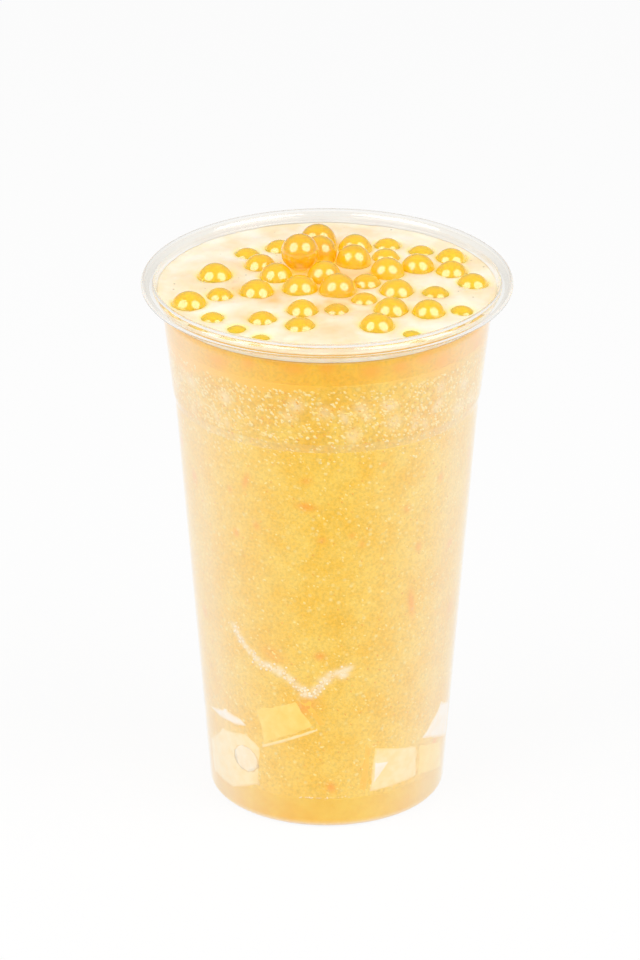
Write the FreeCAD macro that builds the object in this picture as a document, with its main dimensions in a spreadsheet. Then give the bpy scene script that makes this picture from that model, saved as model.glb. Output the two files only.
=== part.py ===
"""Fruit refresher: a clear 90 mm calibre cup, filled to the brim with a fruit slush and popping pearls.

The cup stands on Z = 0 with its axis on the Z axis.  All sizes are millimetres, all angles degrees.
Bearings turn anticlockwise from +X, as seen from above.
"""

import FreeCAD, Part
import math
import os

import Sketcher

# Driving sizes: name in the sheet, value, what it measures.
SIZES = (
    ("cup_height", 135.0, "foot to the top of the rolled lip"),
    ("rim_radius", 45.0, "outside of the rolled lip"),
    ("curl_radius", 1.75, "outside radius of the lip's own round section"),
    ("curl_skin", 0.6, "thickness of the rolled lip's sheet"),
    ("curl_tuck", 110.0, "angle by which the lip turns under, from its outermost line"),
    ("wall", 0.65, "thickness of the side wall"),
    ("flare_drop", 6.5, "top of the lip to the start of the flare under it"),
    ("rim_overhang", 4.9, "how far the lip stands out past the wall under the flare"),
    ("shoulder_drop", 28.3, "top of the lip to the upper edge of the stacking shoulder"),
    ("upper_taper", 2.5, "how far the wall narrows from the flare to the shoulder"),
    ("shoulder_step", 0.6, "how far the shoulder steps in"),
    ("shoulder_height", 2.4, "height over which it steps in"),
    ("lower_taper", 8.2, "how far the wall narrows from the shoulder to the foot"),
    ("base_round", 2.6, "rounding between wall and foot"),
    ("base_thick", 0.8, "thickness of the floor"),
    ("foot_width", 4.2, "width of the ring that the cup stands on, from the wall inward"),
    ("push_up_slant", 4.6, "how far the foot ring's inner side slants inward to the raised floor"),
    ("push_up_height", 5.0, "how far the middle of the floor is raised"),
    ("edge_round", 1.2, "rounding of the shoulder and of the flare"),
    ("settled_level", 8.5, "foot to the top of the clear juice under the ice"),
    ("pearl_band_depth", 6.4, "depth of the pearl layer under the foam"),
    ("foam_depth", 2.8, "depth of the foam at the wall"),
    ("fill_drop", 3.1, "top of the lip to the foam's edge"),
    ("foam_crown", 0.9, "how far the foam rises to its middle"),
    ("pearl_small", 3.9, "radius of the small pearls"),
    ("pearl_medium", 4.25, "radius of the middling pearls"),
    ("pearl_large", 4.6, "radius of the large pearls"),
    ("pearl_gap", 0.12, "least space between two pearls"),
    ("pearl_wall_gap", 0.45, "least space between a pearl and the wall"),
)

# Pearls of the heap: bearing, distance from the axis in pearl pitches, height of the pearl's middle above
# the foam, size.
HEAP = {
    "middle_back": (98.0, 0.52, -0.4, "pearl_medium"),
    "middle_left": (199.0, 0.78, -1.6, "pearl_large"),
    "middle_right": (312.0, 0.56, -0.6, "pearl_large"),
    "left": (154.0, 1.64, -1.2, "pearl_medium"),
    "back": (96.0, 1.90, 1.6, "pearl_medium"),
    "back_right": (66.0, 1.82, 0.1, "pearl_medium"),
    "right": (8.0, 1.15, -2.0, "pearl_small"),
    "far_right": (27.0, 1.86, -0.6, "pearl_medium"),
    "far_left": (193.0, 2.02, -2.0, "pearl_large"),
    "front_right": (349.0, 1.95, -2.1, "pearl_large"),
}

# Three pearls of the heap that carry one more pearl, and its size.
HEAP_TOP = (("left", "middle_back", "back"), "pearl_large")

# Scattered pearls: bearing, share of the way from the axis to the wall, height of the middle above the foam,
# size.
SCATTER = (
    (131.0, 0.78, -3.3, "pearl_medium"),
    (117.0, 0.74, -2.5, "pearl_medium"),
    (142.0, 0.55, -1.9, "pearl_medium"),
    (166.0, 0.77, -1.8, "pearl_large"),
    (193.0, 0.73, -2.4, "pearl_small"),
    (197.0, 0.94, -1.9, "pearl_large"),
    (215.0, 0.90, -3.0, "pearl_small"),
    (233.0, 0.70, -2.8, "pearl_medium"),
    (231.0, 0.91, -3.5, "pearl_small"),
    (243.0, 0.97, -3.6, "pearl_small"),
    (250.0, 0.46, -2.1, "pearl_medium"),
    (255.0, 0.68, -3.1, "pearl_large"),
    (278.0, 0.41, -2.9, "pearl_small"),
    (315.0, 0.38, -2.5, "pearl_small"),
    (296.0, 0.75, -1.9, "pearl_large"),
    (305.0, 0.98, -3.6, "pearl_small"),
    (317.0, 0.56, -2.0, "pearl_large"),
    (327.0, 0.79, -1.5, "pearl_medium"),
    (335.0, 0.97, -3.1, "pearl_small"),
    (351.0, 0.72, -3.0, "pearl_medium"),
    (5.0, 0.98, -2.2, "pearl_medium"),
    (18.0, 0.86, -2.0, "pearl_medium"),
    (32.0, 0.99, -2.0, "pearl_medium"),
    (28.0, 0.69, -1.2, "pearl_medium"),
    (44.0, 0.89, -3.2, "pearl_medium"),
    (54.0, 0.66, -2.1, "pearl_small"),
    (60.0, 0.80, -2.9, "pearl_medium"),
    (74.0, 0.68, -0.9, "pearl_medium"),
    (95.0, 0.71, 0.8, "pearl_large"),
)

SETTLE_PASSES = 2000
SETTLE_SLACK = 0.02
SAME_PLACE = 0.01


class Size:
    """A number together with the sheet expression that drives it."""

    def __init__(self, value, text):
        self.value = value
        self.text = text

    def __add__(self, other):
        return Size(self.value + other.value, f"({self.text} + {other.text})")

    def __sub__(self, other):
        return Size(self.value - other.value, f"({self.text} - {other.text})")

    def __mul__(self, other):
        return Size(self.value * other.value, f"({self.text} * {other.text})")

    def __truediv__(self, other):
        return Size(self.value / other.value, f"({self.text} / {other.text})")

    def cosine(self):
        return Size(math.cos(math.radians(self.value)), f"cos({self.text} * 1 deg)")

    def sine(self):
        return Size(math.sin(math.radians(self.value)), f"sin({self.text} * 1 deg)")


ZERO = Size(0.0, "0")
TWO = Size(2.0, "2")


def make_sheet(doc):
    """The spreadsheet of driving sizes: name, value, meaning."""
    sheet = doc.addObject("Spreadsheet::Sheet", "sizes")
    for row, (name, value, meaning) in enumerate(SIZES, start=1):
        sheet.set(f"A{row}", name)
        sheet.set(f"B{row}", str(value))
        sheet.set(f"C{row}", meaning)
        sheet.setAlias(f"B{row}", name)
    doc.recompute()
    return sheet


def read_sizes(sheet):
    """Every driving size of the sheet as a Size, by name."""
    return {name: Size(float(sheet.get(name)), f"{sheet.Name}.{name}") for name, _, _ in SIZES}


def bind(thing, prop, size):
    """Drive a property of an object from the sheet."""
    thing.setExpression(prop, size.text)


def origin_plane(body, role):
    """The body's own origin plane that plays the given role."""
    return next(plane for plane in body.Origin.OriginFeatures if plane.Role == role)


def pin(sketch, line, end, point):
    """Hold one end of a sketch line at a point given by two Sizes."""
    for kind, size, axis in (("DistanceX", point[0], -2), ("DistanceY", point[1], -1)):
        if size is ZERO:
            sketch.addConstraint(Sketcher.Constraint("PointOnObject", line, end, axis))
            continue
        index = sketch.addConstraint(Sketcher.Constraint(kind, -1, 1, line, end, size.value))
        sketch.setExpression(f"Constraints[{index}]", size.text)


def upright_sketch(body, name):
    """A sketch on the body's XZ plane: its x is the radius, its y the height."""
    sketch = body.newObject("Sketcher::SketchObject", name)
    sketch.AttachmentSupport = [(origin_plane(body, "XZ_Plane"), "")]
    sketch.MapMode = "FlatFace"
    return sketch


def add_lines(sketch, points):
    """Straight sketch lines from point to point, each end held.  Returns the index of the first line."""
    first = sketch.GeometryCount
    flat = [FreeCAD.Vector(radius.value, height.value, 0) for radius, height in points]
    for start, end in zip(flat, flat[1:]):
        sketch.addGeometry(Part.LineSegment(start, end), False)
    for step, point in enumerate(points[:-1]):
        pin(sketch, first + step, 1, point)
    last = sketch.GeometryCount - 1
    pin(sketch, last, 2, points[-1])
    for line in range(first, last):
        sketch.addConstraint(Sketcher.Constraint("Coincident", line, 2, line + 1, 1))
    return first


def add_arc(sketch, middle, radius, angles, joins):
    """A sketch arc of a driven radius between two line ends that are held already."""
    circle = Part.Circle(FreeCAD.Vector(*middle, 0), FreeCAD.Vector(0, 0, 1), radius.value)
    arc = sketch.addGeometry(Part.ArcOfCircle(circle, *angles), False)
    for end, (line, line_end) in zip((1, 2), joins):
        sketch.addConstraint(Sketcher.Constraint("Coincident", arc, end, line, line_end))
    index = sketch.addConstraint(Sketcher.Constraint("Radius", arc, radius.value))
    sketch.setExpression(f"Constraints[{index}]", radius.text)
    return arc


def revolve(body, sketch, name):
    """Turn the sketch once round the Z axis."""
    turned = body.newObject("PartDesign::Revolution", name)
    turned.Profile = sketch
    turned.ReferenceAxis = (sketch, ["V_Axis"])
    turned.Angle = 360
    body.Tip = turned
    body.Document.recompute()
    return turned


def round_edges(body, name, base, places, size):
    """Round the circular edges of a feature that lie at the given places, each a radius and a height."""
    names = []
    for number, edge in enumerate(base.Shape.Edges, start=1):
        if not isinstance(edge.Curve, Part.Circle):
            continue
        for radius, height in places:
            level = edge.Curve.Center.z - height.value
            if math.hypot(edge.Curve.Radius - radius.value, level) < SAME_PLACE:
                names.append(f"Edge{number}")
    if len(names) != len(places):
        raise RuntimeError(f"{name}: found {len(names)} edges of {len(places)}")
    fillet = body.newObject("PartDesign::Fillet", name)
    fillet.Base = (base, names)
    bind(fillet, "Radius", size)
    body.Tip = fillet
    body.Document.recompute()
    return fillet


class Cup:
    """The heights and radii of the cup's wall, from the driving sizes."""

    def __init__(self, size):
        self.size = size
        self.curl_height = size["cup_height"] - size["curl_radius"]
        self.curl_middle = size["rim_radius"] - size["curl_radius"]
        self.flare_height = size["cup_height"] - size["flare_drop"]
        self.shoulder_top = size["cup_height"] - size["shoulder_drop"]
        self.shoulder_foot = self.shoulder_top - size["shoulder_height"]
        self.flare_radius = size["rim_radius"] - size["rim_overhang"]
        self.shoulder_radius = self.flare_radius - size["upper_taper"]
        self.waist_radius = self.shoulder_radius - size["shoulder_step"]
        self.base_radius = self.waist_radius - size["lower_taper"]
        self.foot_inner = self.base_radius - size["foot_width"]
        self.push_up_radius = self.foot_inner - size["push_up_slant"]
        self.fill_height = size["cup_height"] - size["fill_drop"]
        self.fill_radius = self.flare_line(self.fill_height)
        self.foam_foot = self.fill_height - size["foam_depth"]
        self.band_foot = self.foam_foot - size["pearl_band_depth"]

    def flare_line(self, height):
        """Radius of the flare's inner face at a height that it spans."""
        start = self.flare_radius - self.size["wall"]
        end = self.curl_middle - self.size["curl_radius"]
        return start + (end - start) * (height - self.flare_height) / (self.curl_height - self.flare_height)

    def outside_outline(self):
        """Half section of the cup's outer faces, from the push-up to the top of the wall."""
        size = self.size
        lip = self.curl_middle - size["curl_radius"] + size["curl_skin"]
        return (
            (ZERO, size["push_up_height"]),
            (self.push_up_radius, size["push_up_height"]),
            (self.foot_inner, ZERO),
            (self.base_radius, ZERO),
            (self.waist_radius, self.shoulder_foot),
            (self.shoulder_radius, self.shoulder_top),
            (self.flare_radius, self.flare_height),
            (lip, self.curl_height),
            (ZERO, self.curl_height),
            (ZERO, size["push_up_height"]),
        )

    def inside_outline(self):
        """Half section of the space inside the wall, up to the middle of the curl."""
        size = self.size
        wall = size["wall"]
        return (
            (ZERO, size["push_up_height"] + size["base_thick"]),
            (self.push_up_radius, size["push_up_height"] + size["base_thick"]),
            (self.foot_inner, size["base_thick"]),
            (self.base_radius - wall, size["base_thick"]),
            (self.waist_radius - wall, self.shoulder_foot),
            (self.shoulder_radius - wall, self.shoulder_top),
            (self.flare_radius - wall, self.flare_height),
            (self.curl_middle - size["curl_radius"], self.curl_height),
            (ZERO, self.curl_height),
            (ZERO, size["push_up_height"] + size["base_thick"]),
        )

    def inside_radius(self, height):
        """Radius of the space inside the wall at a height."""
        side = [(radius.value, level.value) for radius, level in self.inside_outline()[3:8]]
        for (low_radius, low), (high_radius, high) in zip(side, side[1:]):
            if low <= height <= high:
                return low_radius + (high_radius - low_radius) * (height - low) / (high - low)
        raise ValueError(f"no wall at a height of {height}")

    def foam_surface(self, distance):
        """Height of the foam at a distance from the axis."""
        fall = self.size["foam_crown"].value * (distance / self.fill_radius.value) ** 2
        return self.fill_height.value + self.size["foam_crown"].value - fall


def turned_body(doc, name, outline, base_edges, wall_edges, size, base_round):
    """A body turned from a closed outline, with its foot and its wall's bends rounded."""
    body = doc.addObject("PartDesign::Body", name)
    sketch = upright_sketch(body, f"{name}_section")
    first = add_lines(sketch, outline[:-1])
    last = sketch.GeometryCount - 1
    closing = sketch.addGeometry(
        Part.LineSegment(sketch.Geometry[last].EndPoint, sketch.Geometry[first].StartPoint), False)
    sketch.addConstraint(Sketcher.Constraint("Coincident", last, 2, closing, 1))
    sketch.addConstraint(Sketcher.Constraint("Coincident", closing, 2, first, 1))
    doc.recompute()
    turned = revolve(body, sketch, f"{name}_turned")
    rounded = round_edges(body, f"{name}_foot_round", turned, base_edges, base_round)
    round_edges(body, f"{name}_bend_round", rounded, wall_edges, size["edge_round"])
    return body


def make_outside(doc, cup):
    """The cup's outer form, solid."""
    outline = cup.outside_outline()
    size = cup.size
    return turned_body(doc, "outside", outline, outline[3:4], outline[4:7], size, size["base_round"])


def make_inside(doc, cup):
    """The space inside the wall, solid."""
    outline = cup.inside_outline()
    size = cup.size
    inner_round = size["base_round"] - size["wall"]
    return turned_body(doc, "inside", outline, outline[3:4], outline[4:7], size, inner_round)


def make_curl(doc, cup):
    """The lip rolled outward: an open round section on top of the wall."""
    size = cup.size
    outer, middle, height = size["curl_radius"], cup.curl_middle, cup.curl_height
    inner = outer - size["curl_skin"]
    tuck = size["curl_tuck"]
    start = ((middle - outer, height), (middle - inner, height))
    end = tuple((middle + reach * tuck.cosine(), height - reach * tuck.sine()) for reach in (inner, outer))
    body = doc.addObject("PartDesign::Body", "curl")
    sketch = upright_sketch(body, "curl_section")
    start_line = add_lines(sketch, start)
    end_line = add_lines(sketch, end)
    angles = (-math.radians(tuck.value), math.pi)
    centre = (middle.value, height.value)
    add_arc(sketch, centre, outer, angles, ((end_line, 2), (start_line, 1)))
    add_arc(sketch, centre, inner, angles, ((end_line, 1), (start_line, 2)))
    doc.recompute()
    revolve(body, sketch, "curl_turned")
    return body


def boolean(doc, kind, name, base, tool):
    """A cut, a fuse or a common of two objects."""
    result = doc.addObject(f"Part::{kind}", name)
    result.Base = base
    result.Tool = tool
    result.Label = name
    return result


def make_cup(doc, outside, inside, curl):
    """The cup in one piece: floor, wall and rolled lip."""
    shell = boolean(doc, "Cut", "shell", outside, inside)
    cup = boolean(doc, "Fuse", "cup", shell, curl)
    cup.Refine = True
    return cup


def polar(bearing, distance):
    """X and Y of a bearing and a distance from the axis."""
    angle = math.radians(bearing)
    return distance * math.cos(angle), distance * math.sin(angle)


def place_pearls(cup):
    """The pearls as chosen by hand, each [x, y, z, size name], those of the heap first."""
    size = cup.size
    pitch = 2 * size["pearl_medium"].value + size["pearl_gap"].value
    pearls = []
    for bearing, pitches, lift, size_name in HEAP.values():
        distance = pitch * pitches
        height = cup.foam_surface(distance) + lift
        pearls.append([*polar(bearing, distance), height, size_name])
    for bearing, share, lift, size_name in SCATTER:
        distance = (cup.fill_radius.value - size[size_name].value) * share
        height = cup.foam_surface(distance) + lift
        pearls.append([*polar(bearing, distance), height, size_name])
    return pearls


def least_apart(size, first, second):
    """The least distance between the middles of two pearls."""
    return size[first[3]].value + size[second[3]].value + size["pearl_gap"].value


def part_two(first, second, apart):
    """Slide two pearls level until their middles are the given distance apart.  True if they moved."""
    across, along, rise = (second[axis] - first[axis] for axis in range(3))
    level = math.hypot(across, along)
    wanted = math.sqrt(max(apart ** 2 - rise ** 2, 0.0))
    if level >= wanted:
        return False
    push = (wanted + SETTLE_SLACK - level) / 2 / level
    first[0] -= across * push
    first[1] -= along * push
    second[0] += across * push
    second[1] += along * push
    return True


def hold_inside(cup, pearl):
    """Bring a pearl back from the wall.  True if it moved."""
    size = cup.size
    radius = size[pearl[3]].value
    reach = cup.inside_radius(min(pearl[2], cup.fill_height.value)) - radius - size["pearl_wall_gap"].value
    distance = math.hypot(pearl[0], pearl[1])
    if distance <= reach:
        return False
    pearl[0] *= (reach - SETTLE_SLACK) / distance
    pearl[1] *= (reach - SETTLE_SLACK) / distance
    return True


def settle(cup, pearls, carriers, top_size):
    """Let the pearls push each other apart on the foam until none overlaps another, the wall or the top one.

    Returns the pearl that lies on the three carriers.
    """
    size = cup.size
    for _ in range(SETTLE_PASSES):
        moved = False
        for number, first in enumerate(pearls):
            for second in pearls[number + 1:]:
                moved = part_two(first, second, least_apart(size, first, second)) or moved
            moved = hold_inside(cup, first) or moved
        top = rest_on(cup, [pearls[number] for number in carriers], top_size)
        for number, pearl in enumerate(pearls):
            if number not in carriers:
                moved = part_two(list(top), pearl, least_apart(size, top, pearl)) or moved
        if not moved:
            return top
    raise RuntimeError("the pearls don't fit on the foam")


def rest_on(cup, carriers, size_name):
    """The place of a pearl that lies in the hollow between three others."""
    size = cup.size
    gap = size["pearl_gap"].value
    centres = [FreeCAD.Vector(*pearl[:3]) for pearl in carriers]
    reaches = [size[pearl[3]].value + size[size_name].value + gap for pearl in carriers]
    east = (centres[1] - centres[0]).normalize()
    side = centres[2] - centres[0]
    along = side.dot(east)
    north = (side - east * along).normalize()
    across = side.dot(north)
    span = (centres[1] - centres[0]).Length
    x = (reaches[0] ** 2 - reaches[1] ** 2 + span ** 2) / (2 * span)
    y = (reaches[0] ** 2 - reaches[2] ** 2 + along ** 2 + across ** 2 - 2 * along * x) / (2 * across)
    lift = math.sqrt(reaches[0] ** 2 - x ** 2 - y ** 2)
    upward = east.cross(north)
    if upward.z < 0:
        upward = -upward
    place = centres[0] + east * x + north * y + upward * lift
    return [place.x, place.y, place.z, size_name]


def make_pearls(doc, cup):
    """Every pearl as a sphere of its own, settled on the foam, with one on top of the heap."""
    pearls = place_pearls(cup)
    names = list(HEAP)
    carriers = [names.index(name) for name in HEAP_TOP[0]]
    pearls.append(settle(cup, pearls, carriers, HEAP_TOP[1]))
    made = []
    for number, (x, y, z, size_name) in enumerate(pearls, start=1):
        pearl = doc.addObject("Part::Sphere", f"pearl_{number:02d}")
        pearl.Label = pearl.Name
        bind(pearl, "Radius", cup.size[size_name])
        pearl.Placement = FreeCAD.Placement(FreeCAD.Vector(x, y, z), FreeCAD.Rotation())
        made.append(pearl)
    return made


def make_dome(doc, cup):
    """A large ball whose top is the foam's crowned surface: it meets the wall at the fill height."""
    rise = cup.size["foam_crown"]
    bend = (cup.fill_radius * cup.fill_radius + rise * rise) / (TWO * rise)
    dome = doc.addObject("Part::Sphere", "foam_dome")
    bind(dome, "Radius", bend)
    bind(dome, "Placement.Base.z", cup.fill_height + rise - bend)
    return dome


def make_layer(doc, cup, name, inside, slab_foot, slab_top, dome, pearls):
    """One layer of the drink: the space inside the wall between two heights, cut round the pearls."""
    slab = doc.addObject("Part::Cylinder", f"{name}_slab")
    bind(slab, "Radius", cup.size["rim_radius"])
    bind(slab, "Height", slab_top - slab_foot)
    bind(slab, "Placement.Base.z", slab_foot)
    level = boolean(doc, "Common", f"{name}_level", inside, slab)
    if dome is not None:
        level = boolean(doc, "Common", f"{name}_crowned", level, dome)
    return boolean(doc, "Cut", name, level, pearls)


def make_drink(doc, cup, inside, pearls):
    """The drink's layers, from the clear juice at the bottom to the foam."""
    together = doc.addObject("Part::Compound", "all_pearls")
    together.Links = pearls
    dome = make_dome(doc, cup)
    crown_top = cup.fill_height + cup.size["foam_crown"]
    levels = (
        ("settled_juice", ZERO, cup.size["settled_level"], None),
        ("slush", cup.size["settled_level"], cup.shoulder_foot, None),
        ("crushed_ice", cup.shoulder_foot, cup.band_foot, None),
        ("pearl_band", cup.band_foot, cup.foam_foot, None),
        ("foam", cup.foam_foot, crown_top, dome),
    )
    return [make_layer(doc, cup, name, inside, foot, top, crown, together)
            for name, foot, top, crown in levels]


def check(doc, nodes):
    """Refuse to go on with a failed object or a broken shape."""
    for thing in doc.Objects:
        if any(word in thing.State for word in ("Invalid", "Error")):
            raise RuntimeError(f"{thing.Name} failed: {thing.State}")
    for node in nodes:
        shape = node.Shape
        if shape.isNull() or not shape.isValid():
            raise RuntimeError(f"{node.Label} has no valid shape")
        if len(shape.Solids) != 1:
            raise RuntimeError(f"{node.Label} is {len(shape.Solids)} solids")


def main():
    """Build the document, check it and write one STEP file for each piece."""
    doc = FreeCAD.newDocument("fruit_refresher")
    cup = Cup(read_sizes(make_sheet(doc)))
    inside = make_inside(doc, cup)
    shell = make_cup(doc, make_outside(doc, cup), inside, make_curl(doc, cup))
    pearls = make_pearls(doc, cup)
    nodes = [shell, *make_drink(doc, cup, inside, pearls), *pearls]
    doc.recompute()
    check(doc, nodes)
    os.makedirs("parts", exist_ok=True)
    for node in nodes:
        node.Shape.exportStep(f"parts/{node.Label}.step")
        print(f"{node.Label}: {node.Shape.Volume / 1000:.2f} ml")


main()
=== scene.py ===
"""Looks of a fruit refresher: a clear cup of fruit slush under cream foam and popping pearls.

The cup stands on Z = 0 with its axis on the Z axis.  The front of the drink faces -Y.  Sizes are metres,
written as millimetres times MM, and bearings are degrees to the right of the front.
"""

import logging
import math
import random
from dataclasses import dataclass, field, replace
from enum import Enum

import bmesh
import bpy
import numpy as np
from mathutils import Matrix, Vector, noise


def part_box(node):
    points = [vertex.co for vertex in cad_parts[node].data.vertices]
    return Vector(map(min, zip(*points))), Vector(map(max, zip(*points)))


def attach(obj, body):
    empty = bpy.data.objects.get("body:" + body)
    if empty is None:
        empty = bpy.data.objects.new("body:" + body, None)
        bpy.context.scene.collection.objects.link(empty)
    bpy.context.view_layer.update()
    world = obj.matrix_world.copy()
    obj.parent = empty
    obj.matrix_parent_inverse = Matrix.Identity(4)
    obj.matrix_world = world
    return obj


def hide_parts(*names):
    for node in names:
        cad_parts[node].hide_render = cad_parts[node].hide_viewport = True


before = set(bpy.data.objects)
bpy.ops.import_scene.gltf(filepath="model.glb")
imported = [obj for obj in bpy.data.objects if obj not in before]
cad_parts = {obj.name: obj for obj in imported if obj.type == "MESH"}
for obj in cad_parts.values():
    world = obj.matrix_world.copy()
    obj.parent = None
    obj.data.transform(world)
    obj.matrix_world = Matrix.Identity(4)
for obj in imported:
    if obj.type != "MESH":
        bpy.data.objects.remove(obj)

MM = 0.001
TURN = 2.0 * math.pi
ROOT = "root"

log = logging.getLogger("fruit_refresher")

Colour = tuple[float, float, float, float]


class Slot(Enum):
    """The record's material slots."""

    CUP = "clear_cup"
    JUICE = "clear_juice"
    SLUSH = "slush"
    ICE = "crushed_ice"
    BAND = "pearl_band"
    FOAM = "foam"
    PEARL = "pearl"


class Tint(Enum):
    """Names of the stored amounts that a layer's finish reads from its mesh."""

    FADE = "ice_fade"
    AMBER = "amber"
    FROTH = "froth"
    # Painted light: the pale yellow glow painted on the foam round each pearl.
    GLOW = "glow"


def colour(code: str) -> Colour:
    """Turn an sRGB hex code into linear light.

    Args:
        code: six hex digits.

    Returns:
        Red, green, blue and an alpha of one.
    """
    values = [int(code[place:place + 2], 16) / 255.0 for place in (0, 2, 4)]
    linear = [v / 12.92 if v <= 0.04045 else ((v + 0.055) / 1.055) ** 2.4 for v in values]
    return (*linear, 1.0)


def per(size: float) -> float:
    """Texture scale at which one pattern cell measures the given size."""
    return 1.0 / size


def add_node(tree: bpy.types.NodeTree, kind: str, inputs: dict | None = None, **settings) -> bpy.types.Node:
    """Add a node with its settings and its inputs.

    Args:
        tree: the node tree.
        kind: the node's type name.
        inputs: by input name or number, a value, or an output socket to link.
        settings: properties of the node.

    Returns:
        The new node.
    """
    node = tree.nodes.new(kind)
    for name, value in settings.items():
        setattr(node, name, value)
    for key, value in (inputs or {}).items():
        if isinstance(value, bpy.types.NodeSocket):
            tree.links.new(value, node.inputs[key])
        else:
            node.inputs[key].default_value = value
    return node


def specks(tree: bpy.types.NodeTree, place: bpy.types.NodeSocket, size: float, edge: tuple[float, float],
           chosen: tuple[float, float]) -> bpy.types.NodeSocket:
    """Round specks in some cells of a pattern.

    Args:
        tree: the node tree.
        place: the point on the piece.
        size: size of a cell.
        edge: distance from a cell's middle at which its speck starts, and at which it is full.
        chosen: a cell's draw from 0 to 1 at which its speck starts to show, and at which it shows fully.

    Returns:
        How strongly a speck shows, from 0 to 1.
    """
    cells = add_node(tree, "ShaderNodeTexVoronoi", {"Vector": place, "Scale": per(size), "Randomness": 1.0})
    spots = add_node(tree, "ShaderNodeMapRange", {
        "Value": cells.outputs["Distance"], "From Min": edge[0], "From Max": edge[1]})
    some = add_node(tree, "ShaderNodeMapRange", {
        "Value": cells.outputs["Color"], "From Min": chosen[0], "From Max": chosen[1]})
    shown = add_node(tree, "ShaderNodeMath", {0: spots.outputs[0], 1: some.outputs[0]}, operation="MULTIPLY")
    return shown.outputs[0]


def let_light_through(tree: bpy.types.NodeTree, out: bpy.types.Node, seen: bpy.types.Node, share: str,
                      bounces: float = math.inf) -> None:
    """Show a clear finish, but let light that falls through it onto other things pass straight.

    Args:
        tree: the node tree.
        out: its output node.
        seen: the finish as it is seen.
        share: hex code of the light that passes.
        bounces: light that has bounced more often than this passes straight as well.
    """
    path = add_node(tree, "ShaderNodeLightPath")
    passing = add_node(tree, "ShaderNodeMath", {
        0: path.outputs["Is Shadow Ray"], 1: path.outputs["Is Diffuse Ray"]}, operation="MAXIMUM")
    if bounces < math.inf:
        trapped = add_node(tree, "ShaderNodeMath", {
            0: path.outputs["Ray Depth"], 1: bounces + 0.5}, operation="GREATER_THAN")
        passing = add_node(tree, "ShaderNodeMath", {
            0: passing.outputs[0], 1: trapped.outputs[0]}, operation="MAXIMUM")
    clear = add_node(tree, "ShaderNodeBsdfTransparent", {"Color": colour(share)})
    mix = add_node(tree, "ShaderNodeMixShader", {
        0: passing.outputs[0], 1: seen.outputs[0], 2: clear.outputs[0]})
    tree.links.new(mix.outputs[0], out.inputs["Surface"])


def new_material(name: str) -> tuple[bpy.types.Material, bpy.types.NodeTree, bpy.types.Node]:
    """Start a node material.

    Args:
        name: the material's name.

    Returns:
        The material, its empty node tree and its output node.
    """
    material = bpy.data.materials.new(name)
    material.use_nodes = True
    tree = material.node_tree
    tree.nodes.clear()
    return material, tree, add_node(tree, "ShaderNodeOutputMaterial")


def finish_piece(bm: bmesh.types.BMesh, name: str, materials: list[bpy.types.Material],
                 replaced: tuple[str, ...] = ()) -> bpy.types.Object:
    """Turn a bmesh into a dressed piece of the drink.

    Args:
        bm: the finished mesh, freed here.
        name: the piece's name.
        materials: its materials, in the order of its faces' material numbers.
        replaced: CAD nodes that it stands for.

    Returns:
        The new object.
    """
    mesh = bpy.data.meshes.new(name)
    bm.to_mesh(mesh)
    bm.free()
    mesh.shade_smooth()
    piece = bpy.data.objects.new(name, mesh)
    bpy.context.scene.collection.objects.link(piece)
    for material in materials:
        mesh.materials.append(material)
    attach(piece, ROOT)
    if replaced:
        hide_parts(*replaced)
    log.info("%s: %d faces, stands for %s", name, len(mesh.polygons), ", ".join(replaced) or "nothing")
    return piece


def turn_section(bm: bmesh.types.BMesh, section: list[tuple[float, float]], steps: int) -> None:
    """Roll a grid once round the Z axis into a turned body, and close its seam and poles.

    Args:
        bm: the empty mesh to fill.
        section: radius and height of each point, in order.
        steps: how many steps the turn takes.
    """
    rows = len(section) - 1
    bmesh.ops.create_grid(bm, x_segments=steps, y_segments=rows, size=0.5)
    for vert in bm.verts:
        angle = TURN * round((vert.co.x + 0.5) * steps) / steps
        radius, height = section[round((vert.co.y + 0.5) * rows)]
        vert.co = (radius * math.cos(angle), radius * math.sin(angle), height)
    bmesh.ops.remove_doubles(bm, verts=bm.verts, dist=0.002 * MM)
    bmesh.ops.recalc_face_normals(bm, faces=bm.faces)


def store_amounts(mesh: bpy.types.Mesh, amounts: dict[Tint, list[float] | np.ndarray]) -> None:
    """Store amounts at each point of a mesh, for its finish to read.

    Args:
        mesh: the mesh.
        amounts: for each tint, one value for each point.
    """
    for tint, values in amounts.items():
        stored = mesh.attributes.new(tint.value, "FLOAT", "POINT")
        stored.data.foreach_set("value", np.clip(values, 0.0, 1.0).astype(np.float32))


@dataclass(frozen=True)
class Span:
    """A CAD node's greatest radius, and the heights it lies between."""

    radius: float
    low: float
    high: float

    @classmethod
    def of(cls, node: str) -> "Span":
        """Measure a node of the frame.

        Args:
            node: its name.

        Returns:
            Its span.
        """
        low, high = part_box(node)
        return cls(high.x, low.z, high.z)


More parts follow.
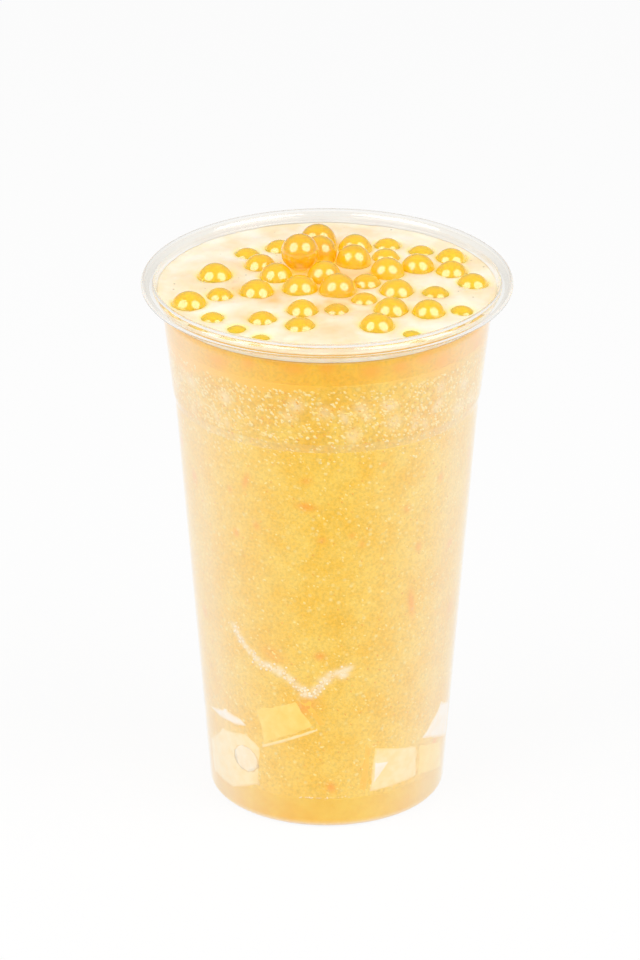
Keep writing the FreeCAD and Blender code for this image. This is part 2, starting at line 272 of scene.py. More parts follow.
@dataclass(frozen=True)
class WallLine:
    """The bends of the cup's inner face, from the floor to the lip, as radius and height."""

    rim: Span
    bends: tuple[tuple[float, float], ...]
    floor: float
    curl_radius: float

    @classmethod
    def of_frame(cls, floor: float = 0.8 * MM, shoulder_rise: float = 2.4 * MM,
                 shoulder_step: float = 0.6 * MM, flare_drop: float = 6.5 * MM,
                 curl_radius: float = 1.75 * MM) -> "WallLine":
        """Read the bends off the cup and the layers that fill it.

        Args:
            floor: the floor's thickness.
            shoulder_rise: height of the shoulder under the crushed ice.
            shoulder_step: how far the shoulder steps out.
            flare_drop: how far under the rim the lip starts to flare.
            curl_radius: outer radius of the rolled lip.

        Returns:
            The line.
        """
        rim, slush, upper = Span.of("cup"), Span.of("slush"), Span.of("crushed_ice")
        taper = (slush.radius - Span.of("settled_juice").radius) / (slush.high - slush.low)
        foot = (slush.radius - taper * (slush.high - floor), floor)
        shoulder = (slush.radius + shoulder_step, slush.high + shoulder_rise)
        spread = (upper.radius - shoulder[0]) / (upper.high - shoulder[1])
        flare_height = rim.high - flare_drop
        flare = (shoulder[0] + spread * (flare_height - shoulder[1]), flare_height)
        lip = (rim.radius - 2 * curl_radius, rim.high - curl_radius)
        return cls(rim, (foot, (slush.radius, slush.high), shoulder, flare, lip), floor, curl_radius)

    def radius(self, height: float | np.ndarray) -> float | np.ndarray:
        """Inner radius at a height, or at each of several."""
        radii, heights = zip(*self.bends)
        return np.interp(height, heights, radii)


@dataclass(frozen=True)
class ClearPolypropylene:
    """Clear polypropylene, thermoformed: dewy up to the drink's level, so it grows pale at a slant there.

    Light that has bounced more often than bounces passes straight out, as it would otherwise stay caught in
    the thin wall and show as a black line behind the foam.
    """

    name: str = "clear_polypropylene_thermoformed"
    base: str = "FFFEFB"
    ior: float = 1.49
    roughness: float = 0.06
    gloss_start: float = 0.12
    gloss_full: float = 0.56
    gloss_ior: float = 4.0
    gloss_roughness: float = 0.05
    dew_full: float = 127.0 * MM
    dew_end: float = 129.5 * MM
    bounces: int = 2
    lamp_share: str = "FCFAF6"

    def material(self) -> bpy.types.Material:
        """Make the material."""
        material, tree, out = new_material(self.name)
        slant = add_node(tree, "ShaderNodeLayerWeight", {"Blend": 0.5})
        gloss = add_node(tree, "ShaderNodeMapRange", {
            "Value": slant.outputs["Facing"], "From Min": self.gloss_start, "From Max": self.gloss_full})
        place = add_node(tree, "ShaderNodeTexCoord").outputs["Object"]
        height = add_node(tree, "ShaderNodeSeparateXYZ", {"Vector": place})
        dew = add_node(tree, "ShaderNodeMapRange", {
            "Value": height.outputs["Z"], "From Min": self.dew_end, "From Max": self.dew_full})
        dewy = add_node(tree, "ShaderNodeMath", {
            0: gloss.outputs[0], 1: dew.outputs[0]}, operation="MULTIPLY")
        shader = add_node(tree, "ShaderNodeBsdfPrincipled", {
            "Base Color": colour(self.base),
            "Transmission Weight": 1.0,
            "IOR": self.ior,
            "Roughness": self.roughness,
            "Coat Weight": dewy.outputs[0],
            "Coat IOR": self.gloss_ior,
            "Coat Roughness": self.gloss_roughness,
        })
        let_light_through(tree, out, shader, self.lamp_share, self.bounces)
        return material


@dataclass(frozen=True)
class IcyJuice:
    """Fruit juice full of shaved ice: cloudy, grained and flecked, and never one flat colour."""

    name: str
    deep: str
    pale: str
    fleck: str
    amber: str = "F9A51E"
    froth: str = "FFF3DC"
    cloud: float = 11.0 * MM
    fleck_size: float = 1.5 * MM
    fleck_amount: float = 0.45
    grain: float = 0.75 * MM
    grain_depth: float = 0.17
    relief: float = 0.12 * MM
    roughness: float = 0.45

    def material(self) -> bpy.types.Material:
        """Make the material."""
        material, tree, out = new_material(self.name)
        place = add_node(tree, "ShaderNodeTexCoord").outputs["Object"]
        cloud = add_node(tree, "ShaderNodeTexNoise", {
            "Vector": place, "Scale": per(self.cloud), "Detail": 7.0, "Roughness": 0.74})
        clouded = add_node(tree, "ShaderNodeMapRange", {
            "Value": cloud.outputs["Fac"], "From Min": 0.38, "From Max": 0.62})
        body = add_node(tree, "ShaderNodeMix", {
            "Factor": clouded.outputs[0], "A": colour(self.deep), "B": colour(self.pale)}, data_type="RGBA")
        flecks = specks(tree, place, self.fleck_size, edge=(0.42, 0.16),
                        chosen=(1.0 - self.fleck_amount, 1.0))
        flecked = add_node(tree, "ShaderNodeMix", {
            "Factor": flecks, "A": body.outputs["Result"], "B": colour(self.fleck)},
            data_type="RGBA")
        grain = add_node(tree, "ShaderNodeTexNoise", {
            "Vector": place, "Scale": per(self.grain), "Detail": 2.0, "Roughness": 0.7})
        shade = add_node(tree, "ShaderNodeMapRange", {
            "Value": grain.outputs["Fac"], "From Min": 0.3, "From Max": 0.62,
            "To Min": 1.0 - self.grain_depth, "To Max": 1.0})
        grained = add_node(tree, "ShaderNodeVectorMath", {
            0: flecked.outputs["Result"], "Scale": shade.outputs[0]}, operation="SCALE")
        amount = add_node(tree, "ShaderNodeAttribute", attribute_name=Tint.AMBER.value)
        stained = add_node(tree, "ShaderNodeMix", {
            "Factor": amount.outputs["Fac"], "A": grained.outputs[0], "B": colour(self.amber)},
            data_type="RGBA")
        foam = add_node(tree, "ShaderNodeAttribute", attribute_name=Tint.FROTH.value)
        frothed = add_node(tree, "ShaderNodeMix", {
            "Factor": foam.outputs["Fac"], "A": stained.outputs["Result"], "B": colour(self.froth)},
            data_type="RGBA")
        height = add_node(tree, "ShaderNodeMath", {
            0: grain.outputs["Fac"], 1: flecks}, operation="ADD")
        bump = add_node(tree, "ShaderNodeBump", {
            "Height": height.outputs[0], "Distance": self.relief, "Strength": 0.6})
        shader = add_node(tree, "ShaderNodeBsdfPrincipled", {
            "Base Color": frothed.outputs["Result"],
            "Roughness": self.roughness,
            "Specular IOR Level": 0.1,
            "Normal": bump.outputs[0],
        })
        tree.links.new(shader.outputs[0], out.inputs["Surface"])
        return material


@dataclass(frozen=True)
class CreamFoam:
    """Whipped juice foam: matt, cream, with painted shade in its fine pores and a painted yellow glow of
    light where a pearl breaks it.
    """

    name: str = "whipped_cream_foam"
    light: str = "FEF1DC"
    deep: str = "FBE0B8"
    # Painted shade: the dark colour painted into the foam's pores.
    painted_pore_shade: str = "BFB096"
    # Painted light: the pale yellow glow painted round each pearl where it breaks the foam.
    glow: str = "FFEE9E"
    stain: str = "FBC070"
    cloud: float = 9.0 * MM
    pore_size: float = 1.6 * MM

    def material(self) -> bpy.types.Material:
        """Make the material."""
        material, tree, out = new_material(self.name)
        place = add_node(tree, "ShaderNodeTexCoord").outputs["Object"]
        cloud = add_node(tree, "ShaderNodeTexNoise", {
            "Vector": place, "Scale": per(self.cloud), "Detail": 3.0})
        clouded = add_node(tree, "ShaderNodeMapRange", {
            "Value": cloud.outputs["Fac"], "From Min": 0.38, "From Max": 0.64})
        body = add_node(tree, "ShaderNodeMix", {
            "Factor": clouded.outputs[0], "A": colour(self.light), "B": colour(self.deep)},
            data_type="RGBA")
        # Painted shade in the pores, which are also dented below.
        pores = specks(tree, place, self.pore_size, edge=(0.2, 0.1), chosen=(0.72, 0.9))
        pore_shaded = add_node(tree, "ShaderNodeMix", {
            "Factor": pores, "A": body.outputs["Result"], "B": colour(self.painted_pore_shade)},
            data_type="RGBA")
        # Painted glow of light round each pearl, mixed over the foam's colour.
        amount = add_node(tree, "ShaderNodeAttribute", attribute_name=Tint.GLOW.value)
        painted_glow_mix = add_node(tree, "ShaderNodeMix", {
            "Factor": amount.outputs["Fac"], "A": pore_shaded.outputs["Result"], "B": colour(self.glow)},
            data_type="RGBA")
        seep = add_node(tree, "ShaderNodeAttribute", attribute_name=Tint.AMBER.value)
        stained = add_node(tree, "ShaderNodeMix", {
            "Factor": seep.outputs["Fac"], "A": painted_glow_mix.outputs["Result"], "B": colour(self.stain)},
            data_type="RGBA")
        dent = add_node(tree, "ShaderNodeBump", {
            "Height": pores, "Distance": 0.2 * MM, "Strength": 0.5}, invert=True)
        shader = add_node(tree, "ShaderNodeBsdfPrincipled", {
            "Base Color": stained.outputs["Result"],
            "Subsurface Weight": 0.4,
            "Subsurface Radius": (2.0 * MM, 1.4 * MM, 0.9 * MM),
            "Subsurface Scale": 1.0,
            "Roughness": 0.5,
            "Specular IOR Level": 0.25,
            "Normal": dent.outputs[0],
        })
        tree.links.new(shader.outputs[0], out.inputs["Surface"])
        return material


@dataclass(frozen=True)
class AmberPearl:
    """A popping pearl: a thin wet skin full of clear amber juice, which bends and colours what is behind."""

    name: str = "amber_juice_in_alginate_skin"
    base: str = "FFCC22"
    lamp_share: str = "FFE386"
    clarity: float = 0.3
    ior: float = 1.36
    roughness: float = 0.06
    coat_ior: float = 1.9
    coat_roughness: float = 0.13

    def material(self) -> bpy.types.Material:
        """Make the material."""
        material, tree, out = new_material(self.name)
        shader = add_node(tree, "ShaderNodeBsdfPrincipled", {
            "Base Color": colour(self.base),
            "Transmission Weight": self.clarity,
            "Subsurface Weight": 0.8,
            "Subsurface Radius": (3.0 * MM, 2.2 * MM, 0.6 * MM),
            "Subsurface Scale": 1.0,
            "IOR": self.ior,
            "Roughness": self.roughness,
            "Coat Weight": 1.0,
            "Coat IOR": self.coat_ior,
            "Coat Roughness": self.coat_roughness,
        })
        let_light_through(tree, out, shader, self.lamp_share)
        return material


@dataclass(frozen=True)
class WetIce:
    """Ice or froth wet with juice: soft, light passes into it, and its colour drifts a little."""

    name: str
    light: str
    deep: str
    cloud: float = 2.5 * MM
    roughness: float = 0.4
    around: str | None = None

    def material(self) -> bpy.types.Material:
        """Make the material, which fades into the colour around it where one is given."""
        material, tree, out = new_material(self.name)
        place = add_node(tree, "ShaderNodeTexCoord").outputs["Object"]
        cloud = add_node(tree, "ShaderNodeTexNoise", {
            "Vector": place, "Scale": per(self.cloud), "Detail": 2.0})
        drift = add_node(tree, "ShaderNodeMapRange", {
            "Value": cloud.outputs["Fac"], "From Min": 0.35, "From Max": 0.65})
        body = add_node(tree, "ShaderNodeMix", {
            "Factor": drift.outputs[0], "A": colour(self.light), "B": colour(self.deep)},
            data_type="RGBA")
        if self.around:
            fade = add_node(tree, "ShaderNodeAttribute", attribute_name=Tint.FADE.value)
            body = add_node(tree, "ShaderNodeMix", {
                "Factor": fade.outputs["Fac"], "A": colour(self.around), "B": body.outputs["Result"]},
                data_type="RGBA")
        shader = add_node(tree, "ShaderNodeBsdfPrincipled", {
            "Base Color": body.outputs["Result"],
            "Roughness": self.roughness,
            "Specular IOR Level": 0.1,
        })
        tree.links.new(shader.outputs[0], out.inputs["Surface"])
        return material


@dataclass
class Cup:
    """The clear cup with its rolled lip, shoulder and pushed-up floor."""

    line: WallLine
    finish: ClearPolypropylene = ClearPolypropylene()
    wall: float = 0.65 * MM
    curl_skin: float = 0.6 * MM
    curl_tuck: float = 110.0
    foot_width: float = 4.2 * MM
    push_up_slant: float = 4.6 * MM
    push_up_height: float = 5.0 * MM
    base_round: float = 2.6 * MM
    bend_round: float = 0.96 * MM
    steps: int = 192
    curl_steps: int = 26

    def curl(self, reach: float) -> list[tuple[float, float]]:
        """Points round the lip's open curl, from the wall over the top and under.

        Args:
            reach: distance of the points from the curl's own middle.

        Returns:
            Radius and height of each point.
        """
        rim = self.line.rim
        middle = (rim.radius - self.line.curl_radius, rim.high - self.line.curl_radius)
        sweep = math.radians(180.0 + self.curl_tuck)
        angles = [math.pi - sweep * step / self.curl_steps for step in range(self.curl_steps + 1)]
        return [(middle[0] + reach * math.cos(a), middle[1] + reach * math.sin(a)) for a in angles]

    def rounded(self, before: tuple[float, float], corner: tuple[float, float], after: tuple[float, float],
                radius: float, parts: int = 6) -> list[tuple[float, float]]:
        """Points of an arc that rounds a corner of the section.

        Args:
            before: the point before the corner.
            corner: the corner.
            after: the point after it.
            radius: the arc's radius.
            parts: how many straight parts the arc gets.

        Returns:
            Radius and height of each point of the arc.
        """
        here = Vector(corner)
        back = (Vector(before) - here).normalized()
        ahead = (Vector(after) - here).normalized()
        half = back.angle(ahead) / 2
        run = radius / math.tan(half)
        middle = here + (back + ahead).normalized() * (radius / math.sin(half))
        start = here + back * run - middle
        end = here + ahead * run - middle
        whole = start.angle(end)
        share = [step / parts for step in range(parts + 1)]
        arc = [(start * math.sin((1 - t) * whole) + end * math.sin(t * whole)) / math.sin(whole)
               for t in share]
        return [tuple(middle + spoke) for spoke in arc]

    def outside(self) -> list[tuple[float, float]]:
        """Bends of the outer faces, from the middle of the floor to the curl."""
        foot, waist, shoulder, flare, _ = self.line.bends
        base = foot[0] + self.wall
        ring = base - self.foot_width
        return [
            (0.0, self.push_up_height), (ring - self.push_up_slant, self.push_up_height), (ring, 0.0),
            (base, 0.0), (waist[0] + self.wall, waist[1]), (shoulder[0] + self.wall, shoulder[1]),
            (flare[0] + self.wall, flare[1]),
        ]

    def inside(self) -> list[tuple[float, float]]:
        """Bends of the inner faces, from the middle of the floor to the flare."""
        foot, waist, shoulder, flare, _ = self.line.bends
        ring = foot[0] + self.wall - self.foot_width
        floor = self.push_up_height + self.line.floor
        return [
            (0.0, floor), (ring - self.push_up_slant, floor), (ring, self.line.floor),
            foot, waist, shoulder, flare,
        ]

    def smooth_bends(self, bends: list[tuple[float, float]], end: tuple[float, float],
                     base_round: float) -> list[tuple[float, float]]:
        """The section with its foot, shoulder and flare rounded.

        Args:
            bends: the section's bends.
            end: the point that follows them.
            base_round: radius at the foot.

        Returns:
            Radius and height of each point of the rounded section.
        """
        path = [*bends, end]
        made = path[:1]
        for before, corner, after in zip(path, path[1:], path[2:]):
            lowest = corner[1] <= self.line.floor and after[1] > corner[1] + self.base_round
            radius = base_round if lowest else self.bend_round
            made += self.rounded(before, corner, after, radius)
        return made

    def section(self) -> list[tuple[float, float]]:
        """The whole half section of the cup's wall, from axis to axis."""
        outer_curl = self.curl(self.line.curl_radius)
        inner_curl = self.curl(self.line.curl_radius - self.curl_skin)
        outer = self.smooth_bends(self.outside(), inner_curl[0], self.base_round)
        inner = self.smooth_bends(self.inside(), outer_curl[0], self.base_round - self.wall)
        return [*outer, *inner_curl, *reversed(outer_curl), *reversed(inner)]

    def build(self) -> None:
        """Make the cup."""
        bm = bmesh.new()
        turn_section(bm, self.section(), self.steps)
        finish_piece(bm, "moulded_cup", [self.finish.material()], ("cup",))


@dataclass(frozen=True)
class Spot:
    """A soft patch on a layer's side: where it is, how large, how slanted and how strong."""

    bearing: float
    height: float
    wide: float
    tall: float
    slant: float = 0.0
    strength: float = 1.0

    def amount(self, bearings: np.ndarray, heights: np.ndarray, radii: np.ndarray) -> np.ndarray:
        """How strong the patch is at each point of a layer's side.

        Args:
            bearings: degrees to the right of the front.
            heights: metres.
            radii: distance from the axis, metres.

        Returns:
            Amounts from 0 to the patch's strength.
        """
        turn = (bearings - self.bearing + 180.0) % 360.0 - 180.0
        across = np.radians(turn) * radii
        along = heights - self.height
        lean = math.radians(self.slant)
        first = across * math.cos(lean) + along * math.sin(lean)
        second = along * math.cos(lean) - across * math.sin(lean)
        return self.strength * np.exp(-(first / self.wide) ** 2 - (second / self.tall) ** 2)


def spots_in_mm(*rows: tuple[float, ...]) -> list[Spot]:
    """Soft patches from rows of bearing, height, half width and half height, then slant and strength."""
    return [Spot(row[0], *(size * MM for size in row[1:4]), *row[4:]) for row in rows]


def scatter_spots(seed: int, count: int, low: float, high: float, size: tuple[float, float],
                  strength: tuple[float, float], keep_clear: float = 60.0,
                  lean: float = 50.0) -> list[Spot]:
    """Soft patches at random places round the sides and back of the drink.

    Args:
        seed: start of the random draws.
        count: how many.
        low: lowest height.
        high: greatest height.
        size: least and greatest half width.
        strength: least and greatest strength.
        keep_clear: bearing either side of the front where none is put.
        lean: greatest slant in degrees, either way.

    Returns:
        The patches.
    """
    draw = random.Random(seed)
    return [
        Spot(draw.uniform(keep_clear, 360.0 - keep_clear), draw.uniform(low, high), draw.uniform(*size),
             draw.uniform(*size), draw.uniform(-lean, lean), draw.uniform(*strength))
        for _ in range(count)
    ]


@dataclass(frozen=True)
class AmberEdge:
    """The uneven lower edge, all the way round, of the amber juice that the pearls have coloured."""

    points: tuple[tuple[float, float], ...]
    fade: float = 2.4 * MM
    wobble: float = 1.1 * MM
    wobble_size: float = 2.6 * MM

    def amount(self, bearings: np.ndarray, heights: np.ndarray, shifts: np.ndarray) -> np.ndarray:
        """How amber each point of a layer's side is.

        Args:
            bearings: degrees to the right of the front.
            heights: metres.
            shifts: noise from -1 to 1 at each point.

        Returns:
            Amounts from 0 below the edge to 1 above it.
        """
        along, level = zip(*self.points)
        edge = np.interp(bearings, along, np.array(level) * MM, period=360.0) + self.wobble * shifts
        rise = np.clip((heights - edge) / self.fade + 0.5, 0.0, 1.0)
        return rise * rise * (3.0 - 2.0 * rise)


@dataclass
class DrinkLayer:
    """One layer of the drink behind the wall, which reaches just into the wall."""

    node: str
    slot: Slot
    finish: IcyJuice
    line: WallLine
    amber: list[Spot] = field(default_factory=list)
    froth: list[Spot] = field(default_factory=list)
    edge: AmberEdge | None = None
    reach: float = 0.08 * MM
    relief: float = 0.05 * MM
    lump: float = 2.2 * MM
    overlap: float = 0.9 * MM
    tuck: float = 0.14 * MM
    row: float = 0.55 * MM
    steps: int = 360

    def section(self) -> list[tuple[float, float]]:
        """The layer's half section, from axis to axis; its foot slips inside the layer below."""
        span = Span.of(self.node)
        rows = max(2, round((span.high - span.low) / self.row))
        heights = [span.low + (span.high - span.low) * step / rows for step in range(rows + 1)]
        side = [(float(self.line.radius(z)) + self.reach, z) for z in heights]
        foot = span.low - self.overlap
        if foot > self.line.floor:
            side.insert(0, (float(self.line.radius(foot)) + self.reach - self.tuck, foot))
        return [(0.0, side[0][1]), *side, (0.0, span.high)]

    def press_out(self, bm: bmesh.types.BMesh) -> None:
        """Give the side its slight unevenness, unlike that of the layers it meets."""
        apart = Vector((0.0, 0.0, float(len(self.node))))
        for vert in bm.verts:
            radius = math.hypot(vert.co.x, vert.co.y)
            if radius < self.line.curl_radius:
                continue
            push = self.relief * noise.noise(vert.co / self.lump + apart)
            vert.co.x *= 1.0 + push / radius
            vert.co.y *= 1.0 + push / radius

    def store(self, mesh: bpy.types.Mesh) -> None:
        """Store the amounts of amber and froth at each point."""
        places = np.empty(len(mesh.vertices) * 3, np.float32)
        mesh.vertices.foreach_get("co", places)
        x, y, z = places.reshape(-1, 3).T
        bearings = np.degrees(np.arctan2(x, -y))
        radii = np.hypot(x, y)
        amounts = {tint: np.zeros(len(x)) for tint in (Tint.AMBER, Tint.FROTH)}
        if self.edge:
            size = self.edge.wobble_size
            shifts = np.array([noise.noise(vert.co / size) for vert in mesh.vertices])
            amounts[Tint.AMBER] = self.edge.amount(bearings, z, shifts)
        for tint, spots in ((Tint.AMBER, self.amber), (Tint.FROTH, self.froth)):
            for spot in spots:
                amounts[tint] = np.maximum(amounts[tint], spot.amount(bearings, z, radii))
        store_amounts(mesh, amounts)

    def build(self) -> None:
        """Make the layer."""
        bm = bmesh.new()
        turn_section(bm, self.section(), self.steps)
        self.press_out(bm)
        piece = finish_piece(bm, f"{self.node}_layer", [self.finish.material()], (self.node,))
        self.store(piece.data)


@dataclass(frozen=True)
class Fleck:
    """A small flat solid against the wall, by its middle, half sizes and slant."""

    bearing: float
    height: float
    wide: float
    tall: float
    slant: float = 0.0


@dataclass
class WallFlecks:
    """Many flecks of one kind, pressed flat against the inside of the wall."""

    name: str
    slot: Slot
    finish: WetIce
    line: WallLine
    flecks: list[Fleck]
    proud: float = 0.24 * MM
    thick: float = 0.14 * MM
    unevenness: float = 0.3
    lumps: float = 1.2
    draw_step: float = 3.7
    fineness: int = 2

    def build(self) -> None:
        """Make the flecks as one piece."""
        shape = bmesh.new()
        bmesh.ops.create_icosphere(shape, subdivisions=self.fineness, radius=1.0)
        corners = [vert.co.copy() for vert in shape.verts]
        faces = [[vert.index for vert in face.verts] for face in shape.faces]
        shape.free()
        bm = bmesh.new()
        for number, fleck in enumerate(self.flecks):
            turn = math.radians(fleck.slant)
            apart = Vector((0.0, 0.0, self.draw_step * number))
            made = []
            for corner in corners:
                swell = 1.0 + self.unevenness * noise.noise(corner * self.lumps + apart)
                across, along = corner.x * fleck.wide * swell, corner.z * fleck.tall * swell
                side = across * math.cos(turn) - along * math.sin(turn)
                height = fleck.height + across * math.sin(turn) + along * math.cos(turn)
                radius = self.line.radius(height) + self.proud - self.thick + corner.y * self.thick
                angle = math.radians(fleck.bearing) + side / radius
                made.append(bm.verts.new((radius * math.sin(angle), -radius * math.cos(angle), height)))
            for face in faces:
                bm.faces.new([made[index] for index in face])
        bmesh.ops.recalc_face_normals(bm, faces=bm.faces)
        finish_piece(bm, self.name, [self.finish.material()])


class PaintedIceShading(Enum):
    """How a face of ice shows through the slush, as painted light and shade: pale, yellow and amber are lit
    and shaded copies of the same ice, and white is a painted highlight; the number is its place among the
    faces' finishes.
    """

    # A painted highlight on the ice.
    WHITE = 0
    PALE = 1
    YELLOW = 2
    AMBER = 3


@dataclass(frozen=True)
class IceFace:
    """A face of an ice block that shows against the wall: its corners as bearing and millimetres up."""

    tone: PaintedIceShading
    corners: tuple[tuple[float, float], ...]


def block_faces(bearing: float, height: float, size: float, lean: float) -> list[IceFace]:
    """The three faces that show of a block lying corner forward against the wall, painted yellow, amber and
    pale as lit and shaded copies of the ice.

    Args:
        bearing: of the corner where the faces meet.
        height: of that corner, in millimetres.
        size: length of the block's edges in millimetres.
        lean: the block's slant in degrees.

    Returns:
        Its faces.
    """
    wall_radius = 32.0
    reach_share = 0.8
    per_mm = math.degrees(1.0 / wall_radius)

    def corner(direction: float, reach: float) -> tuple[float, float]:
        angle = math.radians(direction + lean)
        return bearing + reach * math.cos(angle) * per_mm, height + reach * math.sin(angle)

    middle = (bearing, height)
    rim = [corner(direction, size * reach_share) for direction in (30.0, 90.0, 150.0, 210.0, 270.0, 330.0)]
    return [
        IceFace(PaintedIceShading.YELLOW, (middle, rim[0], rim[1], rim[2])),
        IceFace(PaintedIceShading.AMBER, (middle, rim[2], rim[3], rim[4])),
        IceFace(PaintedIceShading.PALE, (middle, rim[4], rim[5], rim[0])),
    ]


@dataclass
class IceBlocks:
    """Ice in the slush: its faces, painted with light and shade, lie against the inside of the wall and fade
    into the slush at the rims.
    """

    line: WallLine
    faces: list[IceFace]
    proud: float = 0.17 * MM
    tone_step: float = 0.02 * MM
    rim: float = 1.1 * MM
    rim_share: float = 0.9
    rim_drop: float = 0.12 * MM
    depth: float = 2.0 * MM
    step: float = 1.2 * MM
    around: str = "FFCF58"

    def slab(self, face: IceFace) -> bmesh.types.BMesh:
        """One face as a thin slab, rolled flat and then laid against the wall.

        Args:
            face: the face.

        Returns:
            Its mesh.
        """
        middle = sum(corner[0] for corner in face.corners) / len(face.corners)
        wall = float(self.line.radius(face.corners[0][1] * MM))
        bm = bmesh.new()
        fade = bm.verts.layers.float.new(Tint.FADE.value)
        verts = [bm.verts.new((math.radians(turn - middle) * wall, 0.0, height * MM))
                 for turn, height in face.corners]
        bm.faces.new(verts)
        bm.normal_update()
        girth = sum(edge.calc_length() for edge in bm.edges)
        soft = min(self.rim, self.rim_share * sum(flat.calc_area() for flat in bm.faces) / girth)
        bmesh.ops.inset_region(bm, faces=bm.faces, thickness=soft, use_boundary=True, use_even_offset=True)
        low = min(vert.co.x for vert in bm.verts)
        high = max(vert.co.x for vert in bm.verts)
        for cut in range(1, int((high - low) / self.step)):
            bmesh.ops.bisect_plane(bm, geom=[*bm.verts, *bm.edges, *bm.faces],
                                   plane_co=(low + cut * self.step, 0.0, 0.0), plane_no=(1.0, 0.0, 0.0))
        rim = {vert.co.to_tuple(7) for edge in bm.edges if edge.is_boundary for vert in edge.verts}
        raised = bmesh.ops.extrude_face_region(bm, geom=list(bm.faces))
        front = {vert for vert in raised["geom"] if isinstance(vert, bmesh.types.BMVert)}
        turn = math.radians(middle)
        proud = self.proud - self.tone_step * face.tone.value
        for vert in bm.verts:
            edge = vert.co.to_tuple(7) in rim
            vert[fade] = 0.0 if edge else 1.0
            drop = self.rim_drop if edge else 0.0
            drop = drop if vert in front else self.depth
            radius = float(self.line.radius(vert.co.z)) + proud - drop
            bearing = turn + vert.co.x / wall
            vert.co = (radius * math.sin(bearing), -radius * math.cos(bearing), vert.co.z)
        bmesh.ops.holes_fill(bm, edges=[edge for edge in bm.edges if edge.is_boundary], sides=0)
        bmesh.ops.recalc_face_normals(bm, faces=bm.faces)
        for piece in bm.faces:
            piece.material_index = face.tone.value
        return bm

    def build(self) -> None:
        """Make all faces as one piece."""
        whole = bmesh.new()
        whole.verts.layers.float.new(Tint.FADE.value)
        for face in self.faces:
            bm = self.slab(face)
            shell = bpy.data.meshes.new("shell")
            bm.to_mesh(shell)
            bm.free()
            whole.from_mesh(shell)
            bpy.data.meshes.remove(shell)
        # One ice in painted light and shade: a painted highlight, then pale, yellow and amber lit and shaded
        # copies.
        finishes = [
            WetIce("painted_highlight_ice", "FFF6EA", "FFEED6", around=self.around),
            WetIce("pale_ice", "FFE9B0", "FFE094", around=self.around),
            WetIce("yellow_ice", "FFDF70", "FFD65A", around=self.around),
            WetIce("amber_ice", "FFCC40", "FFC234", around=self.around),
        ]
        finish_piece(whole, "ice_blocks", [finish.material() for finish in finishes])


@dataclass(frozen=True)
class Ball:
    """A pearl's middle and radius, read from the frame."""

    name: str
    middle: Vector
    radius: float


def read_pearls() -> list[Ball]:
    """Every pearl of the frame, in the order of their names."""
    names = sorted(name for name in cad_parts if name.startswith("pearl_") and name[6:].isdigit())
    found = []
    for name in names:
        low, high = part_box(name)
        found.append(Ball(name, (low + high) / 2, (high.z - low.z) / 2))
    return found


